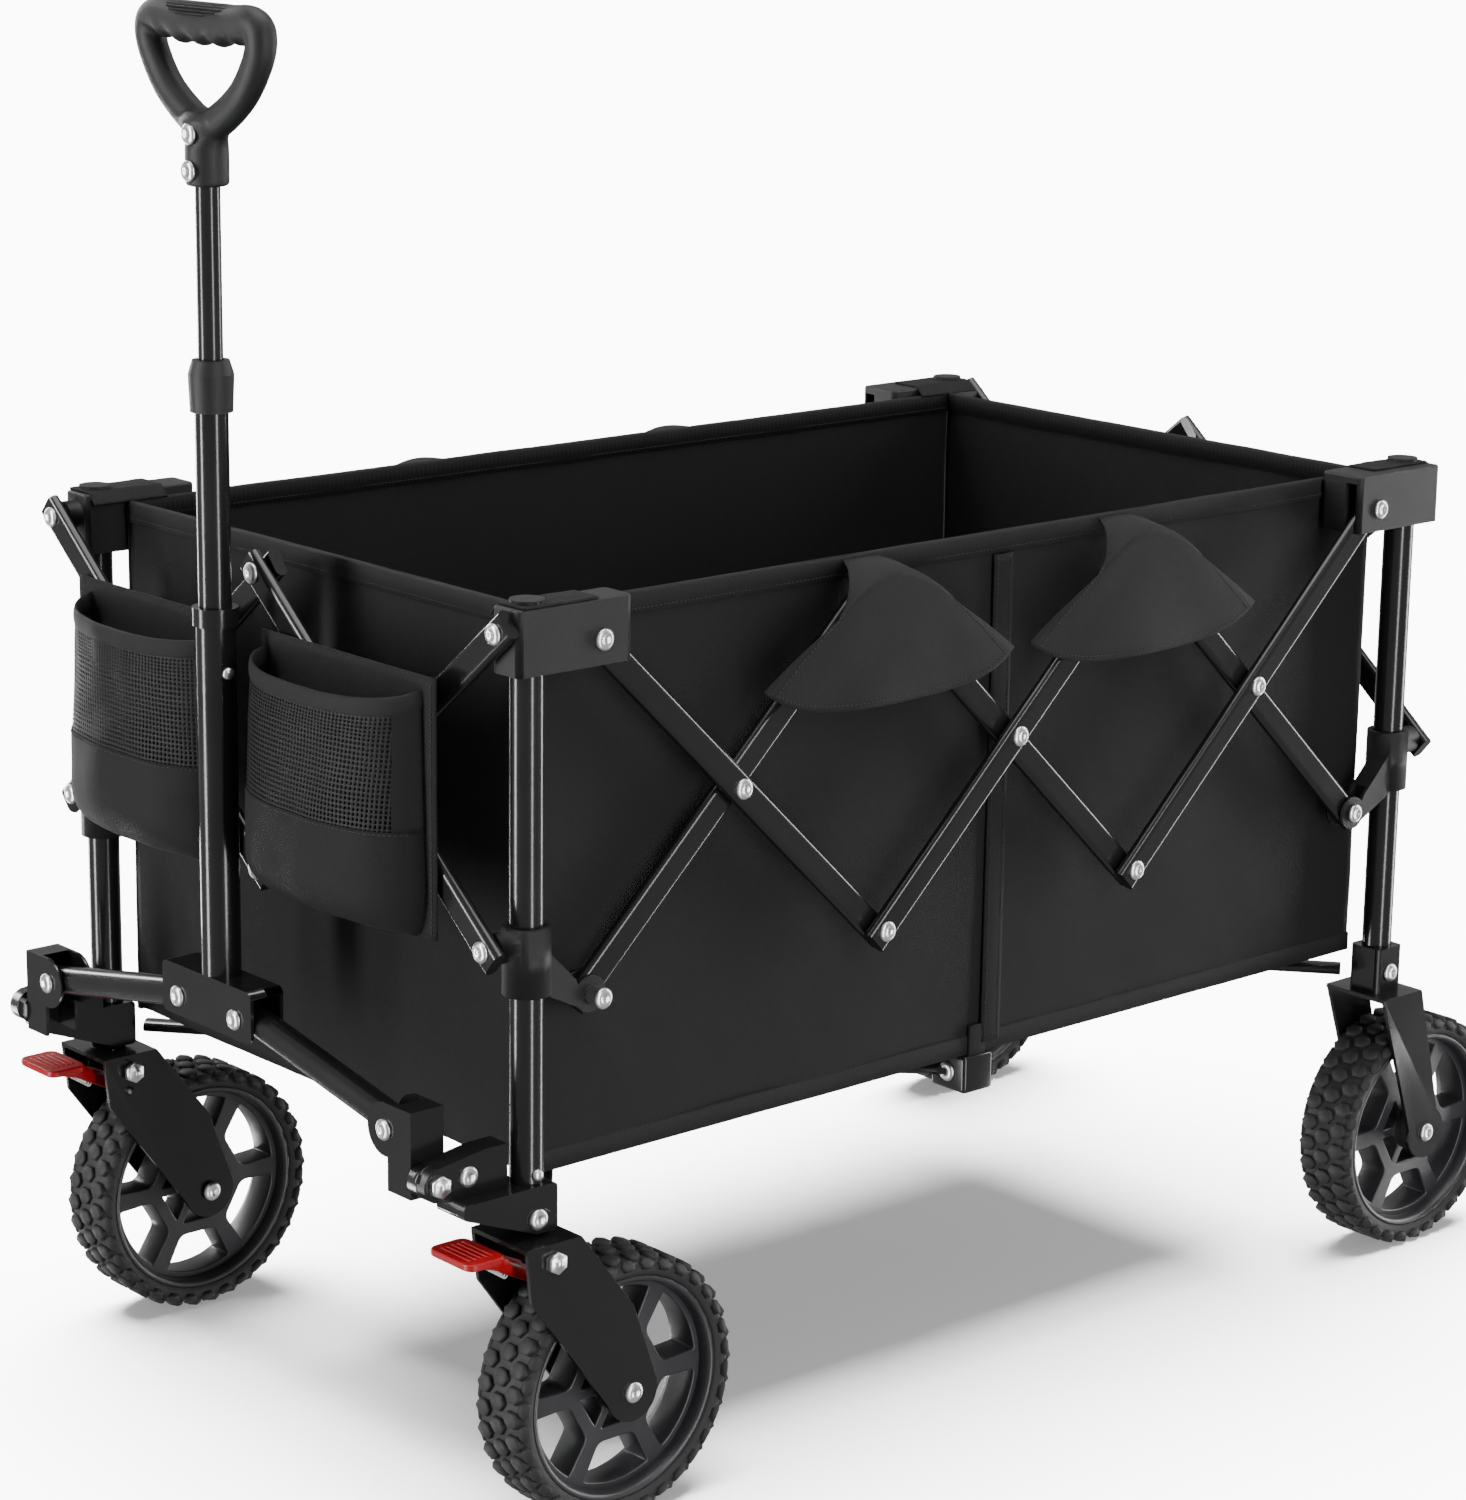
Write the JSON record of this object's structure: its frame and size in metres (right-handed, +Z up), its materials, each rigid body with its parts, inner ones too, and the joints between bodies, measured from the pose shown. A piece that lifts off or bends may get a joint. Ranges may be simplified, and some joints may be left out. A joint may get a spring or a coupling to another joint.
{
  "type": "folding camp wagon",
  "caption": "Folding camp wagon with a fabric tub on crossed folding bars, a telescopic pull handle, braked front casters and fixed rear wheels.",
  "frame": {"origin": "on the ground, under the middle of the overall box", "axes": "+Z up, -Y towards the pull handle, +X the right-hand long side"},
  "size_m": [0.541, 1.026, 0.958],
  "materials": {
    "powder_coat": "semi-gloss black powder coat",
    "black_nylon": "moulded black nylon",
    "oxford_fabric": "black woven polyester",
    "red_plastic": "moulded red plastic",
    "tyre_rubber": "solid black tyre on a black rim",
    "grip_plastic": "soft-touch black plastic"
  },
  "bodies": {
    "front_right_corner": {"post_front_right": "powder_coat", "top_bracket_front_right": "black_nylon", "socket_front_right": "powder_coat", "tub_floor": "oxford_fabric", "tub_side_walls": "oxford_fabric", "tub_end_walls": "oxford_fabric", "front_pockets": "oxford_fabric", "floor_arms": "powder_coat"},
    "front_left_corner": {"post_front_left": "powder_coat", "top_bracket_front_left": "black_nylon", "socket_front_left": "powder_coat"},
    "rear_right_corner": {"post_rear_right": "powder_coat", "top_bracket_rear_right": "black_nylon", "wheel_bracket_rear_right": "powder_coat"},
    "rear_left_corner": {"post_rear_left": "powder_coat", "top_bracket_rear_left": "black_nylon", "wheel_bracket_rear_left": "powder_coat"},
    "side_bar_right_front_falling": {"side_bar_right_front_falling": "powder_coat"},
    "side_bar_right_front_rising": {"side_bar_right_front_rising": "powder_coat"},
    "side_bar_right_middle_falling": {"side_bar_right_middle_falling": "powder_coat"},
    "side_bar_right_middle_rising": {"side_bar_right_middle_rising": "powder_coat"},
    "side_bar_right_rear_falling": {"side_bar_right_rear_falling": "powder_coat"},
    "side_bar_right_rear_rising": {"side_bar_right_rear_rising": "powder_coat"},
    "slider_front_right": {"slider_front_right": "black_nylon"},
    "slider_rear_right": {"slider_rear_right": "black_nylon"},
    "side_bar_left_front_falling": {"side_bar_left_front_falling": "powder_coat"},
    "side_bar_left_front_rising": {"side_bar_left_front_rising": "powder_coat"},
    "side_bar_left_middle_falling": {"side_bar_left_middle_falling": "powder_coat"},
    "side_bar_left_middle_rising": {"side_bar_left_middle_rising": "powder_coat"},
    "side_bar_left_rear_falling": {"side_bar_left_rear_falling": "powder_coat"},
    "side_bar_left_rear_rising": {"side_bar_left_rear_rising": "powder_coat"},
    "slider_front_left": {"slider_front_left": "black_nylon"},
    "slider_rear_left": {"slider_rear_left": "black_nylon"},
    "end_bar_front_right_falling": {"end_bar_front_right_falling": "powder_coat"},
    "end_bar_front_right_rising": {"end_bar_front_right_rising": "powder_coat"},
    "end_bar_front_left_falling": {"end_bar_front_left_falling": "powder_coat"},
    "end_bar_front_left_rising": {"end_bar_front_left_rising": "powder_coat"},
    "end_bar_rear_right_falling": {"end_bar_rear_right_falling": "powder_coat"},
    "end_bar_rear_right_rising": {"end_bar_rear_right_rising": "powder_coat"},
    "end_bar_rear_left_falling": {"end_bar_rear_left_falling": "powder_coat"},
    "end_bar_rear_left_rising": {"end_bar_rear_left_rising": "powder_coat"},
    "handle_hinge_right": {"handle_hinge_right": "powder_coat"},
    "handle_hinge_left": {"handle_hinge_left": "powder_coat"},
    "cross_tube_right": {"cross_tube_right": "powder_coat"},
    "cross_tube_left": {"cross_tube_left": "powder_coat"},
    "handle_base": {"handle_channel": "powder_coat", "handle_lower_tube": "powder_coat"},
    "handle_middle": {"handle_middle_tube": "powder_coat", "handle_collar": "grip_plastic"},
    "handle_upper": {"handle_upper_tube": "powder_coat", "handle_grip": "grip_plastic"},
    "caster_right": {"caster_fork_right": "powder_coat"},
    "brake_pedal_right": {"brake_pedal_right": "red_plastic"},
    "wheel_front_right": {"wheel_front_right": "tyre_rubber"},
    "wheel_rear_right": {"wheel_rear_right": "tyre_rubber"},
    "caster_left": {"caster_fork_left": "powder_coat"},
    "brake_pedal_left": {"brake_pedal_left": "red_plastic"},
    "wheel_front_left": {"wheel_front_left": "tyre_rubber"},
    "wheel_rear_left": {"wheel_rear_left": "tyre_rubber"}
  },
  "joints": [
    {"name": "frame_fold", "type": "hinge", "parent": "front_right_corner", "child": "side_bar_right_front_falling", "pos_m": [0.244, -0.383, 0.584], "axis": [-1, 0, 0], "range_deg": [0, 30], "deforming": ["tub_floor", "tub_side_walls", "tub_end_walls", "front_pockets", "floor_arms"]},
    {"name": "fold_right_cross_front", "type": "hinge", "parent": "side_bar_right_front_falling", "child": "side_bar_right_front_rising", "pos_m": [0.244, -0.263, 0.469], "axis": [-1, 0, 0], "range_deg": [-60, 0]},
    {"name": "fold_right_low_front", "type": "hinge", "parent": "side_bar_right_front_falling", "child": "side_bar_right_middle_rising", "pos_m": [0.244, -0.143, 0.354], "axis": [-1, 0, 0], "range_deg": [-60, 0]},
    {"name": "fold_right_cross_middle", "type": "hinge", "parent": "side_bar_right_middle_rising", "child": "side_bar_right_middle_falling", "pos_m": [0.244, -0.023, 0.469], "axis": [-1, 0, 0], "range_deg": [0, 60]},
    {"name": "fold_right_top_rear", "type": "hinge", "parent": "side_bar_right_middle_rising", "child": "side_bar_right_rear_falling", "pos_m": [0.244, 0.097, 0.584], "axis": [-1, 0, 0], "range_deg": [0, 60]},
    {"name": "fold_right_cross_rear", "type": "hinge", "parent": "side_bar_right_rear_falling", "child": "side_bar_right_rear_rising", "pos_m": [0.244, 0.217, 0.469], "axis": [-1, 0, 0], "range_deg": [-60, 0]},
    {"name": "fold_right_rear_post", "type": "hinge", "parent": "side_bar_right_rear_rising", "child": "rear_right_corner", "pos_m": [0.244, 0.337, 0.584], "axis": [-1, 0, 0], "range_deg": [0, 30]},
    {"name": "fold_right_front_slider", "type": "hinge", "parent": "side_bar_right_front_rising", "child": "slider_front_right", "pos_m": [0.244, -0.383, 0.354], "axis": [-1, 0, 0], "range_deg": [0, 30]},
    {"name": "fold_right_rear_slider", "type": "hinge", "parent": "side_bar_right_rear_falling", "child": "slider_rear_right", "pos_m": [0.244, 0.337, 0.354], "axis": [-1, 0, 0], "range_deg": [-30, 0]},
    {"name": "fold_left_front_pivot", "type": "hinge", "parent": "front_left_corner", "child": "side_bar_left_front_falling", "pos_m": [-0.244, -0.383, 0.584], "axis": [-1, 0, 0], "range_deg": [0, 30]},
    {"name": "fold_left_cross_front", "type": "hinge", "parent": "side_bar_left_front_falling", "child": "side_bar_left_front_rising", "pos_m": [-0.244, -0.263, 0.469], "axis": [-1, 0, 0], "range_deg": [-60, 0]},
    {"name": "fold_left_low_front", "type": "hinge", "parent": "side_bar_left_front_falling", "child": "side_bar_left_middle_rising", "pos_m": [-0.244, -0.143, 0.354], "axis": [-1, 0, 0], "range_deg": [-60, 0]},
    {"name": "fold_left_cross_middle", "type": "hinge", "parent": "side_bar_left_middle_rising", "child": "side_bar_left_middle_falling", "pos_m": [-0.244, -0.023, 0.469], "axis": [-1, 0, 0], "range_deg": [0, 60]},
    {"name": "fold_left_top_rear", "type": "hinge", "parent": "side_bar_left_middle_rising", "child": "side_bar_left_rear_falling", "pos_m": [-0.244, 0.097, 0.584], "axis": [-1, 0, 0], "range_deg": [0, 60]},
    {"name": "fold_left_cross_rear", "type": "hinge", "parent": "side_bar_left_rear_falling", "child": "side_bar_left_rear_rising", "pos_m": [-0.244, 0.217, 0.469], "axis": [-1, 0, 0], "range_deg": [-60, 0]},
    {"name": "fold_left_rear_post", "type": "hinge", "parent": "side_bar_left_rear_rising", "child": "rear_left_corner", "pos_m": [-0.244, 0.337, 0.584], "axis": [-1, 0, 0], "range_deg": [0, 30]},
    {"name": "fold_left_front_slider", "type": "hinge", "parent": "side_bar_left_front_rising", "child": "slider_front_left", "pos_m": [-0.244, -0.383, 0.354], "axis": [-1, 0, 0], "range_deg": [0, 30]},
    {"name": "fold_left_rear_slider", "type": "hinge", "parent": "side_bar_left_rear_falling", "child": "slider_rear_left", "pos_m": [-0.244, 0.337, 0.354], "axis": [-1, 0, 0], "range_deg": [-30, 0]},
    {"name": "fold_front_right_pivot", "type": "hinge", "parent": "front_right_corner", "child": "end_bar_front_right_falling", "pos_m": [0.24, -0.459, 0.595], "axis": [0, -1, 0], "range_deg": [0, 27.85]},
    {"name": "fold_front_cross_right", "type": "hinge", "parent": "end_bar_front_right_falling", "child": "end_bar_front_right_rising", "pos_m": [0.12, -0.459, 0.496], "axis": [0, -1, 0], "range_deg": [-55.7, 0]},
    {"name": "fold_front_low_centre", "type": "hinge", "parent": "end_bar_front_right_falling", "child": "end_bar_front_left_falling", "pos_m": [0, -0.459, 0.397], "axis": [0, -1, 0], "range_deg": [-55.7, 0]},
    {"name": "fold_front_cross_left", "type": "hinge", "parent": "end_bar_front_left_falling", "child": "end_bar_front_left_rising", "pos_m": [-0.12, -0.459, 0.496], "axis": [0, -1, 0], "range_deg": [0, 55.7]},
    {"name": "fold_front_left_pivot", "type": "hinge", "parent": "end_bar_front_left_falling", "child": "front_left_corner", "pos_m": [-0.24, -0.459, 0.595], "axis": [0, -1, 0], "range_deg": [0, 27.85]},
    {"name": "fold_rear_right_pivot", "type": "hinge", "parent": "rear_right_corner", "child": "end_bar_rear_right_falling", "pos_m": [0.24, 0.413, 0.595], "axis": [0, -1, 0], "range_deg": [0, 27.85]},
    {"name": "fold_rear_cross_right", "type": "hinge", "parent": "end_bar_rear_right_falling", "child": "end_bar_rear_right_rising", "pos_m": [0.12, 0.413, 0.496], "axis": [0, -1, 0], "range_deg": [-55.7, 0]},
    {"name": "fold_rear_low_centre", "type": "hinge", "parent": "end_bar_rear_right_falling", "child": "end_bar_rear_left_falling", "pos_m": [0, 0.413, 0.397], "axis": [0, -1, 0], "range_deg": [-55.7, 0]},
    {"name": "fold_rear_cross_left", "type": "hinge", "parent": "end_bar_rear_left_falling", "child": "end_bar_rear_left_rising", "pos_m": [-0.12, 0.413, 0.496], "axis": [0, -1, 0], "range_deg": [0, 55.7]},
    {"name": "handle_tilt", "type": "hinge", "parent": "front_right_corner", "child": "handle_hinge_right", "pos_m": [0.222, -0.502, 0.253], "axis": [1, 0, 0], "range_deg": [0, 85]},
    {"name": "handle_tilt_left", "type": "hinge", "parent": "front_left_corner", "child": "handle_hinge_left", "pos_m": [-0.222, -0.502, 0.253], "axis": [1, 0, 0], "range_deg": [0, 85]},
    {"name": "fold_cross_tube_right", "type": "hinge", "parent": "handle_hinge_right", "child": "cross_tube_right", "pos_m": [0.195, -0.497, 0.2794], "axis": [0, 1, 0], "range_deg": [0, 64.53]},
    {"name": "fold_cross_tube_left", "type": "hinge", "parent": "handle_hinge_left", "child": "cross_tube_left", "pos_m": [-0.195, -0.497, 0.2794], "axis": [0, -1, 0], "range_deg": [0, 64.53]},
    {"name": "fold_handle_channel", "type": "hinge", "parent": "cross_tube_right", "child": "handle_base", "pos_m": [0.0327, -0.497, 0.3102], "axis": [0, -1, 0], "range_deg": [0, 64.53]},
    {"name": "handle_lower_slide", "type": "slide", "parent": "handle_base", "child": "handle_middle", "axis": [0, 0, 1], "range_m": [-0.125, 0]},
    {"name": "handle_upper_slide", "type": "slide", "parent": "handle_middle", "child": "handle_upper", "axis": [0, 0, 1], "range_m": [-0.105, 0]},
    {"name": "caster_swivel_right", "type": "hinge", "parent": "front_right_corner", "child": "caster_right", "pos_m": [0.24, -0.433, 0.207], "axis": [0, 0, 1], "continuous": true},
    {"name": "brake_pedal_right_press", "type": "hinge", "parent": "caster_right", "child": "brake_pedal_right", "pos_m": [0.24, -0.433, 0.18], "axis": [1, 0, 0], "range_deg": [0, 12]},
    {"name": "wheel_spin_front_right", "type": "hinge", "parent": "caster_right", "child": "wheel_front_right", "pos_m": [0.24, -0.368, 0.09], "axis": [1, 0, 0], "continuous": true},
    {"name": "wheel_spin_rear_right", "type": "hinge", "parent": "rear_right_corner", "child": "wheel_rear_right", "pos_m": [0.24, 0.423, 0.09], "axis": [1, 0, 0], "continuous": true},
    {"name": "caster_swivel_left", "type": "hinge", "parent": "front_left_corner", "child": "caster_left", "pos_m": [-0.24, -0.433, 0.207], "axis": [0, 0, 1], "continuous": true},
    {"name": "brake_pedal_left_press", "type": "hinge", "parent": "caster_left", "child": "brake_pedal_left", "pos_m": [-0.24, -0.433, 0.18], "axis": [1, 0, 0], "range_deg": [0, 12]},
    {"name": "wheel_spin_front_left", "type": "hinge", "parent": "caster_left", "child": "wheel_front_left", "pos_m": [-0.24, -0.368, 0.09], "axis": [1, 0, 0], "continuous": true},
    {"name": "wheel_spin_rear_left", "type": "hinge", "parent": "rear_left_corner", "child": "wheel_rear_left", "pos_m": [-0.24, 0.423, 0.09], "axis": [1, 0, 0], "continuous": true}
  ],
  "couplings": [
    {"joint": "fold_right_cross_front", "follows": "frame_fold", "ratio": -2},
    {"joint": "fold_right_low_front", "follows": "frame_fold", "ratio": -2},
    {"joint": "fold_right_cross_middle", "follows": "frame_fold", "ratio": 2},
    {"joint": "fold_right_top_rear", "follows": "frame_fold", "ratio": 2},
    {"joint": "fold_right_cross_rear", "follows": "frame_fold", "ratio": -2},
    {"joint": "fold_right_rear_post", "follows": "frame_fold", "ratio": 1},
    {"joint": "fold_right_front_slider", "follows": "frame_fold", "ratio": 1},
    {"joint": "fold_right_rear_slider", "follows": "frame_fold", "ratio": -1},
    {"joint": "fold_left_front_pivot", "follows": "frame_fold", "ratio": 1},
    {"joint": "fold_left_cross_front", "follows": "frame_fold", "ratio": -2},
    {"joint": "fold_left_low_front", "follows": "frame_fold", "ratio": -2},
    {"joint": "fold_left_cross_middle", "follows": "frame_fold", "ratio": 2},
    {"joint": "fold_left_top_rear", "follows": "frame_fold", "ratio": 2},
    {"joint": "fold_left_cross_rear", "follows": "frame_fold", "ratio": -2},
    {"joint": "fold_left_rear_post", "follows": "frame_fold", "ratio": 1},
    {"joint": "fold_left_front_slider", "follows": "frame_fold", "ratio": 1},
    {"joint": "fold_left_rear_slider", "follows": "frame_fold", "ratio": -1},
    {"joint": "fold_front_right_pivot", "follows": "frame_fold", "ratio": 0.92836},
    {"joint": "fold_front_cross_right", "follows": "frame_fold", "ratio": -1.8567},
    {"joint": "fold_front_low_centre", "follows": "frame_fold", "ratio": -1.8567},
    {"joint": "fold_front_cross_left", "follows": "frame_fold", "ratio": 1.8567},
    {"joint": "fold_front_left_pivot", "follows": "frame_fold", "ratio": 0.92836},
    {"joint": "fold_rear_right_pivot", "follows": "frame_fold", "ratio": 0.92836},
    {"joint": "fold_rear_cross_right", "follows": "frame_fold", "ratio": -1.8567},
    {"joint": "fold_rear_low_centre", "follows": "frame_fold", "ratio": -1.8567},
    {"joint": "fold_rear_cross_left", "follows": "frame_fold", "ratio": 1.8567},
    {"joint": "handle_tilt_left", "follows": "handle_tilt", "ratio": 1},
    {"joint": "fold_cross_tube_right", "follows": "frame_fold", "ratio": 2.1509},
    {"joint": "fold_cross_tube_left", "follows": "frame_fold", "ratio": 2.1509},
    {"joint": "fold_handle_channel", "follows": "frame_fold", "ratio": 2.1509}
  ]
}
